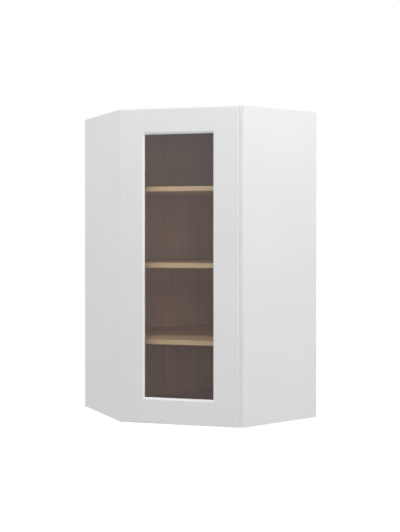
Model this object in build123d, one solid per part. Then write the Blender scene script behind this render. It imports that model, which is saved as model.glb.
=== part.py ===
from build123d import *
import os
from math import radians, sqrt, tan

# A diagonal corner wall cabinet with one framed glass door and three shelves.
# Row frame: the two walls are the planes x = 0 and y = 0, and the origin is
# where they meet, level with the underside. +Z is up. The cabinet stands in
# x > 0, y < 0, and its door looks along (1, -1, 0).
# Face frame, for the pieces of the front: x runs right along the front, y runs
# back into the cabinet, z is up, and the origin is the foot of the front's
# middle line. on_face() carries a piece from the face frame to the row frame.

# ---- the box ----
WALL_LENGTH = 609.6  # along each wall
RETURN_DEPTH = 304.8  # depth of each side panel, the depth of a neighbour
HEIGHT = 1066.8
BOARD = 16.0  # sides, top, bottom, stiles, shelves, rails and batten
BACK_PANEL = 6.0
STILE_WIDTH = 38.1  # front face of each front stile
DADO_DEPTH = 5.0  # how far the top and bottom sit in the side panels
GROOVE_DEPTH = 6.0  # how far the back panels sit in the side panels
BLIND_END = 0.5  # air left at the end of a dado, groove or drilled hole
NOTCH_CLEARANCE = 0.2  # between a stile and the notch round it
EDGING = 1.0  # strip on the front edge of a board
CORNER_ARRIS_R = 2.5  # upright corners between the side panels and the stiles
EDGING_ARRIS_R = 0.5  # front arrises of the shelves

# ---- mitre splines between stiles and side panels ----
SPLINE_WIDTH = 12.0
SPLINE_THICKNESS = 3.0
SPLINE_STOP = 25.0  # from the ends of the stile

# ---- hanging rails behind the back panels ----
RAIL_HEIGHT = 76.2
BATTEN_WIDTH = 50.0
WALL_SCREW_SPACING = 406.4
WALL_SCREW_HOLE_R = 2.75
RAIL_DOWEL_R = 4.0
RAIL_DOWEL_LENGTH = 30.0
RAIL_DOWEL_IN_SIDE = 10.0
RAIL_DOWEL_SPACING = 44.0
BACK_SCREW_LENGTH = 18.0
BACK_SCREW_R = 1.75
BACK_SCREW_HEAD_R = 3.5
BACK_SCREW_HEAD = 1.75
BACK_SCREW_END = 60.0  # from the ends of a rail
BACK_SCREW_RISE = 19.0  # above a rail's lower edge
BACK_SCREWS_PER_RAIL = 3

# ---- shelves ----
SHELF_NAMES = ("lower", "middle", "upper")
SHELF_SETBACK = 40.0  # front edge behind the front of the stiles
SHELF_CLEARANCE = 1.5  # to the panels round it
PIN_R = 2.45
PIN_HOLE_R = 2.5
PIN_DEPTH = 9.0
PIN_TAB_LENGTH = 10.0
PIN_TAB_WIDTH = 10.0
PIN_TAB_THICKNESS = 3.0
PIN_TAB_CORNER_R = 3.0
PIN_FRONT_INSET = 32.0  # from the shelf's front corner
PIN_REAR_INSET = 37.0  # from the back panel
PIN_CORNER_INSET = 14.0  # from the other back panel, at the back corner
PIN_HOLE_PITCH = 32.0
PIN_HOLES_EACH_WAY = 2

# ---- door ----
DOOR_THICKNESS = 19.0
DOOR_GAP = 2.0  # between the door's back and the stiles
LATCH_REVEAL = 6.0  # stile left bare at the latch side
HINGE_REVEAL = 12.7  # stile left bare at the hinge side
END_REVEAL = 4.0  # above and below the door
MEMBER_FLAT = 80.0  # flat face of each door member
BEVEL_WIDTH = 6.5
BEVEL_DROP = 4.0
GLASS_SETBACK = 8.0  # from the door's front to the glass
RABBET_WIDTH = 10.0
FRONT_ARRIS_R = 3.0
BACK_ARRIS_R = 2.0
DOOR_DOWEL_R = 4.0
DOOR_DOWEL_LENGTH = 40.0
DOOR_DOWEL_ENDS = (22.0, 58.0)  # from the door's top or bottom edge
GLASS_THICKNESS = 3.2
GLASS_CLEARANCE = 1.5
GLAZING_BEAD_WIDTH = 9.0
GLAZING_BEAD_DEPTH = 6.0
GLAZING_BEAD_CHAMFER = 3.0
BRAD_R = 0.6
BRAD_LENGTH = 16.0
BRAD_FROM_GLASS = 1.6  # middle of a brad, behind the glass
BRADS_PER_LONG_BEAD = 6
BRADS_PER_SHORT_BEAD = 2
BUMPER_R = 4.75
BUMPER_INSET = 12.0  # from the latch edge
BUMPER_FROM_END = 25.0
BUMPER_AIR = 0.4  # between a bumper and the stile
BUMPER_EDGE_R = 0.8

# ---- hinges: an arm on the stile's inner edge, a pin in a cup in the door ----
HINGE_NAMES = ("lower", "middle", "upper")
HINGE_FROM_END = 95.0  # outer hinges, from the door's ends
CUP_R = 17.5
CUP_DEPTH = 13.0
CUP_WALL = 0.8
CUP_FLOOR_R = 2.0  # outside, between the cup's wall and its floor
CUP_EDGE = 3.0  # wood left between the cup and the door's edge
CUP_HOLE_CLEARANCE = 0.1
WING_THICKNESS = 1.2
WING_WIDTH = 13.0
WING_LENGTH = 60.0
WING_CORNER_R = 4.0
CUP_SCREW_OFFSET = 9.5  # from the cup's middle, away from the door's edge
CUP_SCREW_SPACING = 45.0
CUP_SCREW_R = 1.5
CUP_SCREW_LENGTH = 11.0
CUP_SCREW_HEAD_R = 3.0
CUP_SCREW_HEAD = 1.5
PIVOT_IN_CUP = 4.2  # hinge pin from the cup's outer wall
PIVOT_DEPTH = 9.3  # hinge pin from the door's back
HINGE_PIN_R = 1.1
HINGE_PIN_LENGTH = 19.0
HINGE_PIN_CLEARANCE = 0.05  # radial, in the arm's knuckle
KNUCKLE_R = 2.4
ARM_WIDTH = 9.0
ARM_THICKNESS = 2.2
ARM_PLATE_LENGTH = 40.0
ARM_PLATE_FRONT = 0.5  # plate's front edge behind the stile's front
ARM_PLATE_CORNER_R = 4.0
ARM_BEND_R = 3.0  # outside, where the arm turns back out of the cup
ARM_SCREW_SPACING = 26.0
ARM_SCREW_R = 1.7
ARM_SCREW_LENGTH = 16.0
ARM_SCREW_HEAD_R = 3.2
ARM_SCREW_HEAD = 1.8
SCREW_HOLE_CLEARANCE = 0.1
SCREW_HEAD_EDGE_R = 1.0
SPRING_THICKNESS = 0.6
SPRING_LEG_WIDTH = 2.8
SPRING_LENGTH = 22.0
SPRING_WIDTH = 18.0
SPRING_FROM_CUP_WALL = 5.0

# ---- worked out from the sizes above ----
FACE_WIDTH = (WALL_LENGTH - RETURN_DEPTH) * sqrt(2)
HALF_FACE = FACE_WIDTH / 2
FACE_MIDDLE = (WALL_LENGTH + RETURN_DEPTH) / 2
FACE = Location((FACE_MIDDLE, -FACE_MIDDLE, 0), (0, 0, 45))
MITRE_ANGLE = 67.5  # half of the 135 degrees between the front and a side
MITRE_RUN = BOARD / tan(radians(MITRE_ANGLE))
STILE_INNER = HALF_FACE - STILE_WIDTH
INSIDE_BACK = BOARD + BACK_PANEL  # inner face of a back panel, from its wall
INSIDE_TOP = HEIGHT - BOARD

BAYS = len(SHELF_NAMES) + 1
BAY_HEIGHT = (HEIGHT - (BAYS + 1) * BOARD) / BAYS
SHELF_BOTTOMS = [BOARD + BAY_HEIGHT + n * (BAY_HEIGHT + BOARD) for n in range(BAYS - 1)]

DOOR_LEFT = -HALF_FACE + LATCH_REVEAL
DOOR_RIGHT = HALF_FACE - HINGE_REVEAL
DOOR_BOTTOM = END_REVEAL
DOOR_TOP = HEIGHT - END_REVEAL
DOOR_BACK = -DOOR_GAP
DOOR_FRONT = DOOR_BACK - DOOR_THICKNESS
MEMBER_WIDTH = MEMBER_FLAT + BEVEL_WIDTH
RABBET_FROM_EDGE = MEMBER_WIDTH - RABBET_WIDTH
GLASS_FRONT = DOOR_FRONT + GLASS_SETBACK
GLASS_BACK = GLASS_FRONT + GLASS_THICKNESS

CUP_X = DOOR_RIGHT - CUP_EDGE - CUP_R
PIVOT_X = CUP_X + CUP_R - PIVOT_IN_CUP
PIVOT_Y = DOOR_BACK - PIVOT_DEPTH
HINGE_HEIGHTS = (
    DOOR_BOTTOM + HINGE_FROM_END,
    (DOOR_BOTTOM + DOOR_TOP) / 2,
    DOOR_TOP - HINGE_FROM_END,
)

LOW = (Align.MIN, Align.MIN, Align.MIN)
ON_BASE = (Align.CENTER, Align.CENTER, Align.MIN)
DIAGONAL = Plane(origin=(0, 0, 0), z_dir=(1, 1, 0))  # swaps the two walls
MIDDLE_OF_FACE = Plane.YZ  # swaps left and right in the face frame


# ---- helpers ----
def block(x, y, z):
    """A box between pairs of low and high coordinates."""
    size = Box(x[1] - x[0], y[1] - y[0], z[1] - z[0], align=LOW)
    return Pos(x[0], y[0], z[0]) * size


def prism(points, bottom, height):
    """An upright prism over a plan outline."""
    outline = Polygon(*points, align=None)
    return Pos(0, 0, bottom) * extrude(outline, height, dir=(0, 0, 1))


def rod(start, direction, radius, length):
    """A round rod from its start along a direction."""
    return Plane(origin=start, z_dir=direction) * Cylinder(radius, length, align=ON_BASE)


def plan(back, side, front):
    """The cabinet's plan, drawn in from the walls, the sides' outer faces and the front."""
    across = WALL_LENGTH - side
    diagonal = WALL_LENGTH + RETURN_DEPTH - front * sqrt(2)
    return [
        (back, -across),
        (diagonal - across, -across),
        (across, across - diagonal),
        (across, -back),
        (back, -back),
    ]


def on_face(piece):
    return FACE * piece


def other_wall(piece):
    """The same piece on the other wall's side of the cabinet."""
    return mirror(piece, about=DIAGONAL)


def other_end(piece):
    """The same piece at the other end of the front, in the face frame."""
    return mirror(piece, about=MIDDLE_OF_FACE)


def screw(start, direction, radius, length, head_radius, head):
    """A pan-head screw: start is under its head, direction is where its point goes."""
    shank = rod(start, direction, radius, length)
    back = [-c for c in direction]
    pan = rod(start, back, head_radius, head)
    rim = pan.edges().sort_by(Axis(start, back))[-1]
    return shank + fillet(rim, SCREW_HEAD_EDGE_R)


def cut(piece, tools):
    for tool in tools:
        piece -= tool
    return piece


def write(name, *pieces):
    """Writes one node: one solid, or a group of like solids."""
    solids = [s for piece in pieces for s in piece.solids()]
    shape = solids[0] if len(solids) == 1 else Compound(solids)
    export_step(shape, f"parts/{name}.step")


# ---- the box ----
def box_envelope():
    """The whole box with its two front corners rounded, to trim the sides and stiles."""
    body = prism(plan(0, 0, 0), 0, HEIGHT)
    from_corner = Axis((0, 0, 0), (1, -1, 0))
    corners = body.edges().filter_by(Axis.Z).group_by(from_corner)[-1]
    return fillet(corners, CORNER_ARRIS_R)


def board_blank(bottom, spare=0.0):
    """A top or bottom board in its dadoes, with a tongue between the stiles."""
    body = prism(plan(0, BOARD - DADO_DEPTH - spare, BOARD), bottom, BOARD)
    reach = STILE_INNER - NOTCH_CLEARANCE
    tongue = block((-reach, reach), (EDGING, BOARD), (bottom, bottom + BOARD))
    return body + on_face(tongue)


def board_edging(bottom):
    reach = STILE_INNER - NOTCH_CLEARANCE
    return on_face(block((-reach, reach), (0, EDGING), (bottom, bottom + BOARD)))


def right_spline(spare=0.0):
    """The spline across the mitre between the right stile and side panel, in the face frame."""
    length = HEIGHT - 2 * (SPLINE_STOP - spare)
    bar = Box(SPLINE_WIDTH + 2 * spare, SPLINE_THICKNESS, length)
    middle = Location(
        (HALF_FACE - MITRE_RUN / 2, BOARD / 2, HEIGHT / 2),
        (0, 0, 90 - MITRE_ANGLE),
    )
    return middle * bar


def right_stile_blank():
    outline = [
        (STILE_INNER, 0),
        (HALF_FACE, 0),
        (HALF_FACE - MITRE_RUN, BOARD),
        (STILE_INNER, BOARD),
    ]
    return prism(outline, 0, HEIGHT) - right_spline(BLIND_END)


def right_side_blank():
    """The right side panel with its dadoes, groove, spline slot and dowel holes."""
    inner = WALL_LENGTH - BOARD
    outline = [
        (inner, 0),
        (inner, -RETURN_DEPTH + MITRE_RUN),
        (WALL_LENGTH, -RETURN_DEPTH),
        (WALL_LENGTH, 0),
    ]
    panel = prism(outline, 0, HEIGHT)
    for bottom in (0, INSIDE_TOP):
        panel -= board_blank(bottom, BLIND_END)
    groove = block(
        (inner, inner + GROOVE_DEPTH + BLIND_END),
        (-INSIDE_BACK, -BOARD),
        (BOARD, INSIDE_TOP),
    )
    panel -= groove
    panel -= on_face(right_spline(BLIND_END))
    return panel & box_envelope()


def right_back_panel():
    return block(
        (BOARD, WALL_LENGTH - BOARD + GROOVE_DEPTH),
        (-INSIDE_BACK, -BOARD),
        (BOARD, INSIDE_TOP),
    )


def left_back_panel():
    """It stops against the inner face of the right one."""
    return block(
        (BOARD, INSIDE_BACK),
        (-(WALL_LENGTH - BOARD + GROOVE_DEPTH), -INSIDE_BACK),
        (BOARD, INSIDE_TOP),
    )


def corner_batten():
    return block((0, BOARD), (-BATTEN_WIDTH, 0), (BOARD, INSIDE_TOP))


RAIL_BOTTOMS = {"lower": BOARD, "upper": INSIDE_TOP - RAIL_HEIGHT}
RAIL_STARTS = {"right": BOARD, "left": BATTEN_WIDTH}  # where the batten ends


def hanging_rail(side, level):
    """A rail on the right wall, from the batten to the side panel."""
    bottom = RAIL_BOTTOMS[level]
    return block(
        (RAIL_STARTS[side], WALL_LENGTH - BOARD),
        (-BOARD, 0),
        (bottom, bottom + RAIL_HEIGHT),
    )


def rail_dowels(side, spare=0.0):
    """Dowels in both ends of both rails on one wall, drawn on the right wall."""
    into_rail = RAIL_DOWEL_LENGTH - RAIL_DOWEL_IN_SIDE
    length = RAIL_DOWEL_LENGTH + 2 * spare
    starts = (
        RAIL_STARTS[side] - RAIL_DOWEL_IN_SIDE - spare,
        WALL_LENGTH - BOARD - into_rail - spare,
    )
    dowels = []
    for bottom in RAIL_BOTTOMS.values():
        middle = bottom + RAIL_HEIGHT / 2
        for z in (middle - RAIL_DOWEL_SPACING / 2, middle + RAIL_DOWEL_SPACING / 2):
            for x in starts:
                dowels.append(rod((x, -BOARD / 2, z), (1, 0, 0), RAIL_DOWEL_R, length))
    return dowels


def wall_screw_holes():
    """Clearance holes through rails and back panel on the right wall."""
    half = WALL_SCREW_SPACING / 2
    holes = []
    for bottom in RAIL_BOTTOMS.values():
        z = bottom + RAIL_HEIGHT / 2
        for x in (WALL_LENGTH / 2 - half, WALL_LENGTH / 2 + half):
            holes.append(rod((x, 0, z), (0, -1, 0), WALL_SCREW_HOLE_R, INSIDE_BACK))
    return holes


def back_screws(side):
    """Countersunk screws through the right back panel into the rails behind it."""
    first = RAIL_STARTS[side] + BACK_SCREW_END
    step = (WALL_LENGTH - BOARD - BACK_SCREW_END - first) / (BACK_SCREWS_PER_RAIL - 1)
    screws = []
    for bottom in RAIL_BOTTOMS.values():
        z = bottom + BACK_SCREW_RISE
        for n in range(BACK_SCREWS_PER_RAIL):
            at = (first + n * step, -INSIDE_BACK, z)
            head_place = Plane(origin=at, z_dir=(0, 1, 0))
            head = Cone(BACK_SCREW_HEAD_R, BACK_SCREW_R, BACK_SCREW_HEAD, align=ON_BASE)
            shank = rod(at, (0, 1, 0), BACK_SCREW_R, BACK_SCREW_LENGTH)
            screws.append(shank + head_place * head)
    return screws



# ---- shelves ----
def shelf_plan(front):
    return plan(INSIDE_BACK + SHELF_CLEARANCE, BOARD + SHELF_CLEARANCE, front)


def shelf(bottom):
    return prism(shelf_plan(SHELF_SETBACK + EDGING), bottom, BOARD)


def shelf_edging(bottom):
    strip = prism(shelf_plan(SHELF_SETBACK), bottom, BOARD) - shelf(bottom)
    front = strip.faces().sort_by(Axis((0, 0, 0), (1, -1, 0)))[-1]
    by_height = front.edges().group_by(Axis.Z)
    return fillet(by_height[0] + by_height[-1], EDGING_ARRIS_R)


def pin_places():
    """For each pin a point on a panel's face, and the turn that points its peg into the panel."""
    face = WALL_LENGTH - BOARD
    front_corner = shelf_plan(SHELF_SETBACK)[2]
    front = front_corner[1] + PIN_FRONT_INSET
    rear = -INSIDE_BACK - PIN_REAR_INSET
    return {
        "right": [((face, front), 0), ((face, rear), 0)],
        "left": [((-front, -face), -90), ((-rear, -face), -90)],
        "back": [((INSIDE_BACK, -INSIDE_BACK - PIN_CORNER_INSET), 180)],
    }


def pin_location(place, z):
    (x, y), turn = place
    return Location((x, y, z), (0, 0, turn))


def shelf_pin():
    """A peg along +X with a flat tab that the shelf lies on."""
    peg = rod((-PIN_R, 0, 0), (1, 0, 0), PIN_R, PIN_DEPTH + PIN_R)
    tab = block(
        (-PIN_TAB_LENGTH, 0),
        (-PIN_TAB_WIDTH / 2, PIN_TAB_WIDTH / 2),
        (PIN_R - PIN_TAB_THICKNESS, PIN_R),
    )
    corners = tab.edges().filter_by(Axis.Z).group_by(Axis.X)[0]
    return peg + fillet(corners, PIN_TAB_CORNER_R)


def pins_under(bottom):
    places = [place for side in pin_places().values() for place in side]
    return [pin_location(place, bottom - PIN_R) * shelf_pin() for place in places]


def pin_holes(side):
    """Rows of holes round each shelf's height, on one side of the cabinet."""
    depth = PIN_DEPTH + BLIND_END
    hole = rod((0, 0, 0), (1, 0, 0), PIN_HOLE_R, depth)
    holes = []
    for bottom in SHELF_BOTTOMS:
        for step in range(-PIN_HOLES_EACH_WAY, PIN_HOLES_EACH_WAY + 1):
            for place in pin_places()[side]:
                z = bottom - PIN_R + step * PIN_HOLE_PITCH
                holes.append(pin_location(place, z) * hole)
    return holes


# ---- door, in the face frame ----
def door_envelope():
    """The whole door as a slab with its arrises rounded, to trim the members."""
    slab = block((DOOR_LEFT, DOOR_RIGHT), (DOOR_FRONT, DOOR_BACK), (DOOR_BOTTOM, DOOR_TOP))
    front_edges = slab.faces().sort_by(Axis.Y)[0].edges()
    slab = fillet(front_edges, FRONT_ARRIS_R)
    back_edges = slab.faces().sort_by(Axis.Y)[-1].edges()
    return fillet(back_edges, BACK_ARRIS_R)


def member_outline():
    """Section of a door member: distance from the door's edge, depth from its front."""
    return [
        (0, 0),
        (MEMBER_FLAT, 0),
        (MEMBER_WIDTH, BEVEL_DROP),
        (MEMBER_WIDTH, GLASS_SETBACK),
        (RABBET_FROM_EDGE, GLASS_SETBACK),
        (RABBET_FROM_EDGE, DOOR_THICKNESS),
        (0, DOOR_THICKNESS),
    ]


def door_stile_blank(edge, inward):
    """A full-height member from one edge of the door; inward is +1 or -1."""
    points = [(edge + inward * u, DOOR_FRONT + v) for u, v in member_outline()]
    return prism(points, DOOR_BOTTOM, DOOR_TOP - DOOR_BOTTOM)


def door_rail_blank(edge, inward):
    """A member between the stiles' rabbets, coped over their bevels by the cut that follows."""
    left = DOOR_LEFT + RABBET_FROM_EDGE
    right = DOOR_RIGHT - RABBET_FROM_EDGE
    points = [(DOOR_FRONT + v, edge + inward * u) for u, v in member_outline()]
    section = Plane.YZ * Polygon(*points, align=None)
    return Pos(left, 0, 0) * extrude(section, right - left, dir=(1, 0, 0))


def door_dowels(spare=0.0):
    """Dowels across the four joints between door stiles and rails."""
    length = DOOR_DOWEL_LENGTH + 2 * spare
    depth = (DOOR_FRONT + DOOR_BACK) / 2
    joints = (DOOR_LEFT + MEMBER_FLAT, DOOR_RIGHT - MEMBER_FLAT)
    heights = [DOOR_BOTTOM + h for h in DOOR_DOWEL_ENDS]
    heights += [DOOR_TOP - h for h in DOOR_DOWEL_ENDS]
    dowels = []
    for joint in joints:
        for z in heights:
            start = (joint - length / 2, depth, z)
            dowels.append(rod(start, (1, 0, 0), DOOR_DOWEL_R, length))
    return dowels


def rabbet_box(inset):
    """Left, right, bottom and top of the rabbet, less an inset."""
    return (
        DOOR_LEFT + RABBET_FROM_EDGE + inset,
        DOOR_RIGHT - RABBET_FROM_EDGE - inset,
        DOOR_BOTTOM + RABBET_FROM_EDGE + inset,
        DOOR_TOP - RABBET_FROM_EDGE - inset,
    )


def door_glass():
    left, right, bottom, top = rabbet_box(GLASS_CLEARANCE)
    return block((left, right), (GLASS_FRONT, GLASS_BACK), (bottom, top))


def glazing_beads():
    """Four strips behind the glass: two of full height and two between them."""
    left, right, bottom, top = rabbet_box(0)
    depth = (GLASS_BACK, GLASS_BACK + GLAZING_BEAD_DEPTH)
    wide = GLAZING_BEAD_WIDTH
    beads = {
        "latch": (block((left, left + wide), depth, (bottom, top)), Axis.X, -1),
        "hinge": (block((right - wide, right), depth, (bottom, top)), Axis.X, 0),
        "bottom": (
            block((left + wide, right - wide), depth, (bottom, bottom + wide)),
            Axis.Z,
            -1,
        ),
        "top": (
            block((left + wide, right - wide), depth, (top - wide, top)),
            Axis.Z,
            0,
        ),
    }
    finished = {}
    for name, (bead, across, inner) in beads.items():
        edges = bead.edges().group_by(across)[inner]
        along = Axis.Z if across == Axis.X else Axis.X
        edge = edges.filter_by(along).sort_by(Axis.Y)[-1]
        finished[name] = chamfer(edge, GLAZING_BEAD_CHAMFER)
    return finished


def glazing_brads():
    """Brads that hold the glazing beads, driven from their inner faces into the members."""
    left, right, bottom, top = rabbet_box(GLAZING_BEAD_WIDTH)
    depth = GLASS_BACK + BRAD_FROM_GLASS
    brads = []
    for n in range(BRADS_PER_LONG_BEAD):
        z = bottom + (top - bottom) * (n + 0.5) / BRADS_PER_LONG_BEAD
        brads.append(rod((left, depth, z), (-1, 0, 0), BRAD_R, BRAD_LENGTH))
        brads.append(rod((right, depth, z), (1, 0, 0), BRAD_R, BRAD_LENGTH))
    for n in range(BRADS_PER_SHORT_BEAD):
        x = left + (right - left) * (n + 0.5) / BRADS_PER_SHORT_BEAD
        brads.append(rod((x, depth, bottom), (0, 0, -1), BRAD_R, BRAD_LENGTH))
        brads.append(rod((x, depth, top), (0, 0, 1), BRAD_R, BRAD_LENGTH))
    return brads


def door_bumpers():
    """Clear domes stuck to the door's back at the latch side."""
    thickness = DOOR_GAP - BUMPER_AIR
    bumpers = []
    for z in (DOOR_BOTTOM + BUMPER_FROM_END, DOOR_TOP - BUMPER_FROM_END):
        start = (DOOR_LEFT + BUMPER_INSET, DOOR_BACK, z)
        dome = rod(start, (0, 1, 0), BUMPER_R, thickness)
        rim = dome.edges().sort_by(Axis.Y)[-1]
        bumpers.append(fillet(rim, BUMPER_EDGE_R))
    return bumpers


# ---- hinges, in the face frame, drawn at z = 0 ----
def hinge_pin(spare=0.0):
    half = HINGE_PIN_LENGTH / 2
    return rod((PIVOT_X, PIVOT_Y, -half), (0, 0, 1), HINGE_PIN_R + spare, HINGE_PIN_LENGTH)


def cup_screws(spare=0.0):
    """Screws through the cup's wings into the door's back."""
    x = CUP_X - CUP_SCREW_OFFSET
    screws = []
    for z in (-CUP_SCREW_SPACING / 2, CUP_SCREW_SPACING / 2):
        screws.append(
            screw(
                (x, DOOR_BACK + WING_THICKNESS, z),
                (0, -1, 0),
                CUP_SCREW_R + spare,
                CUP_SCREW_LENGTH,
                CUP_SCREW_HEAD_R,
                CUP_SCREW_HEAD,
            )
        )
    return screws


def round_floored(inset):
    """A round plug from the cup's mouth to its floor, drawn in from the cup's outside."""
    plug = rod((CUP_X, DOOR_BACK, 0), (0, -1, 0), CUP_R - inset, CUP_DEPTH - inset)
    floor_edge = plug.edges().sort_by(Axis.Y)[0]
    return fillet(floor_edge, CUP_FLOOR_R - inset)


def hinge_cup():
    """A pressed cup with two wings, bored for the pin and the screws."""
    mouth = (CUP_X, DOOR_BACK, 0)
    shell = round_floored(0) - round_floored(CUP_WALL)
    middle = CUP_X - CUP_SCREW_OFFSET
    wing = block(
        (middle - WING_WIDTH / 2, middle + WING_WIDTH / 2),
        (DOOR_BACK, DOOR_BACK + WING_THICKNESS),
        (-WING_LENGTH / 2, WING_LENGTH / 2),
    )
    wing = fillet(wing.edges().filter_by(Axis.Y), WING_CORNER_R)
    wing -= rod(mouth, (0, 1, 0), CUP_R - CUP_WALL, WING_THICKNESS)
    return cut(shell + wing, [hinge_pin()] + cup_screws(SCREW_HOLE_CLEARANCE))


def hinge_spring():
    """A flat U of spring steel on the cup's floor, open towards the pin."""
    floor = DOOR_BACK - CUP_DEPTH + CUP_WALL
    start = CUP_X - CUP_R + SPRING_FROM_CUP_WALL
    half = SPRING_WIDTH / 2
    leaf = block((start, start + SPRING_LENGTH), (floor, floor + SPRING_THICKNESS), (-half, half))
    gap = half - SPRING_LEG_WIDTH
    slot = block(
        (start + SPRING_LEG_WIDTH, start + SPRING_LENGTH),
        (floor, floor + SPRING_THICKNESS),
        (-gap, gap),
    )
    return leaf - slot


def arm_screws(spare=0.0):
    """Screws through the arm's plate into the stile's inner edge."""
    screws = []
    for z in (-ARM_SCREW_SPACING / 2, ARM_SCREW_SPACING / 2):
        screws.append(
            screw(
                (STILE_INNER - ARM_THICKNESS, BOARD / 2, z),
                (1, 0, 0),
                ARM_SCREW_R + spare,
                ARM_SCREW_LENGTH,
                ARM_SCREW_HEAD_R,
                ARM_SCREW_HEAD,
            )
        )
    return screws


def hinge_arm():
    """A knuckle round the pin, a bar along the cup's floor, and a plate on the stile's inner edge."""
    half = ARM_WIDTH / 2
    inner = STILE_INNER - ARM_THICKNESS
    low = PIVOT_Y - KNUCKLE_R
    knuckle = rod((PIVOT_X, PIVOT_Y, -half), (0, 0, 1), KNUCKLE_R, ARM_WIDTH)
    bar = block((inner, PIVOT_X), (low, low + ARM_THICKNESS), (-half, half))
    strip = bar + block((inner, STILE_INNER), (low, BOARD), (-half, half))
    # Seen from outside the bend, its outer corner comes first and its inner one second.
    for place, radius in ((1, ARM_BEND_R - ARM_THICKNESS), (0, ARM_BEND_R)):
        upright = strip.edges().filter_by(Axis.Z).sort_by(Axis((0, 0, 0), (1, 1, 0)))
        strip = fillet(upright[place], radius)
    plate = block(
        (inner, STILE_INNER),
        (ARM_PLATE_FRONT, BOARD),
        (-ARM_PLATE_LENGTH / 2, ARM_PLATE_LENGTH / 2),
    )
    plate = fillet(plate.edges().filter_by(Axis.X), ARM_PLATE_CORNER_R)
    arm = knuckle + strip + plate
    return cut(arm, [hinge_pin(HINGE_PIN_CLEARANCE)] + arm_screws(SCREW_HOLE_CLEARANCE))


def at_hinges(pieces):
    return [on_face(Pos(0, 0, z) * piece) for z in HINGE_HEIGHTS for piece in pieces]


# ---- writing the nodes ----
def write_box():
    holes = {"right": wall_screw_holes(), "left": [other_wall(h) for h in wall_screw_holes()]}
    dowels = {side: rail_dowels(side) for side in RAIL_STARTS}
    dowels["left"] = [other_wall(d) for d in dowels["left"]]
    dowel_holes = {
        "right": rail_dowels("right", BLIND_END),
        "left": [other_wall(d) for d in rail_dowels("left", BLIND_END)],
    }
    screws = {
        "right": back_screws("right"),
        "left": [other_wall(s) for s in back_screws("left")],
    }

    side = right_side_blank()
    right_side = cut(side, pin_holes("right") + dowel_holes["right"])
    left_side = cut(other_wall(side), pin_holes("left") + dowel_holes["left"])
    write("right_side_panel", right_side)
    write("left_side_panel", left_side)
    write("top_board", board_blank(INSIDE_TOP))
    write("bottom_board", board_blank(0))
    write("top_board_edging", board_edging(INSIDE_TOP))
    write("bottom_board_edging", board_edging(0))
    write("right_back_panel", cut(right_back_panel(), holes["right"] + screws["right"]))
    left_back = cut(left_back_panel(), holes["left"] + screws["left"])
    write("left_back_panel", cut(left_back, pin_holes("back")))
    batten_holes = dowel_holes["right"] + dowel_holes["left"] + pin_holes("back")
    write("corner_batten", cut(corner_batten(), batten_holes))
    for level in RAIL_BOTTOMS:
        right = hanging_rail("right", level)
        left = other_wall(hanging_rail("left", level))
        right_tools = holes["right"] + dowel_holes["right"] + screws["right"]
        left_tools = holes["left"] + dowel_holes["left"] + screws["left"]
        write(f"right_{level}_hanging_rail", cut(right, right_tools))
        write(f"left_{level}_hanging_rail", cut(left, left_tools))
    write("rail_dowels", *dowels["right"], *dowels["left"])
    write("back_panel_screws", *screws["right"], *screws["left"])


def write_front():
    stile = right_stile_blank()
    tools = [Pos(0, 0, z) * s for z in HINGE_HEIGHTS for s in arm_screws()]
    envelope = box_envelope()
    write("right_front_stile", on_face(cut(stile, tools)) & envelope)
    write("left_front_stile", on_face(other_end(stile)) & envelope)
    write("right_mitre_spline", on_face(right_spline()))
    write("left_mitre_spline", on_face(other_end(right_spline())))


def write_shelves():
    for name, bottom in zip(SHELF_NAMES, SHELF_BOTTOMS):
        write(f"{name}_shelf", shelf(bottom))
        write(f"{name}_shelf_edging", shelf_edging(bottom))
        write(f"{name}_shelf_pins", *pins_under(bottom))


def write_door():
    envelope = door_envelope()
    latch_stile = door_stile_blank(DOOR_LEFT, 1)
    hinge_stile = door_stile_blank(DOOR_RIGHT, -1)
    bottom_rail = door_rail_blank(DOOR_BOTTOM, 1) - latch_stile - hinge_stile
    top_rail = door_rail_blank(DOOR_TOP, -1) - latch_stile - hinge_stile
    cup_hole = rod(
        (CUP_X, DOOR_BACK, 0),
        (0, -1, 0),
        CUP_R + CUP_HOLE_CLEARANCE,
        CUP_DEPTH + CUP_HOLE_CLEARANCE,
    )
    hinge_tools = [Pos(0, 0, z) * t for z in HINGE_HEIGHTS for t in [cup_hole] + cup_screws()]
    joint_tools = door_dowels(BLIND_END) + glazing_brads()
    members = {
        "door_latch_stile": (latch_stile, joint_tools),
        "door_hinge_stile": (hinge_stile, joint_tools + hinge_tools),
        "door_bottom_rail": (bottom_rail, joint_tools),
        "door_top_rail": (top_rail, joint_tools),
    }
    for name, (blank, tools) in members.items():
        write(name, on_face(cut(blank & envelope, tools)))
    write("door_dowels", *[on_face(d) for d in door_dowels()])
    write("door_glass", on_face(door_glass()))
    for name, bead in glazing_beads().items():
        write(f"{name}_glazing_bead", on_face(cut(bead, glazing_brads())))
    write("glazing_brads", *[on_face(b) for b in glazing_brads()])
    write("door_bumpers", *[on_face(b) for b in door_bumpers()])


def write_hinges():
    for name, z in zip(HINGE_NAMES, HINGE_HEIGHTS):
        write(f"{name}_hinge_cup", on_face(Pos(0, 0, z) * hinge_cup()))
        write(f"{name}_hinge_arm", on_face(Pos(0, 0, z) * hinge_arm()))
    write("hinge_pins", *at_hinges([hinge_pin()]))
    write("hinge_springs", *at_hinges([hinge_spring()]))
    write("hinge_cup_screws", *at_hinges(cup_screws()))
    write("hinge_arm_screws", *at_hinges(arm_screws()))


os.makedirs("parts", exist_ok=True)
write_box()
write_front()
write_shelves()
write_door()
write_hinges()
pivot = on_face(Pos(PIVOT_X, PIVOT_Y, 0) * Vertex(0, 0, 0)).center()
print(f"door pivot at x {pivot.X:.3f}, y {pivot.Y:.3f}")
print("shelf bottoms", [round(b, 2) for b in SHELF_BOTTOMS])
print("hinge heights", [round(h, 2) for h in HINGE_HEIGHTS])
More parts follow.
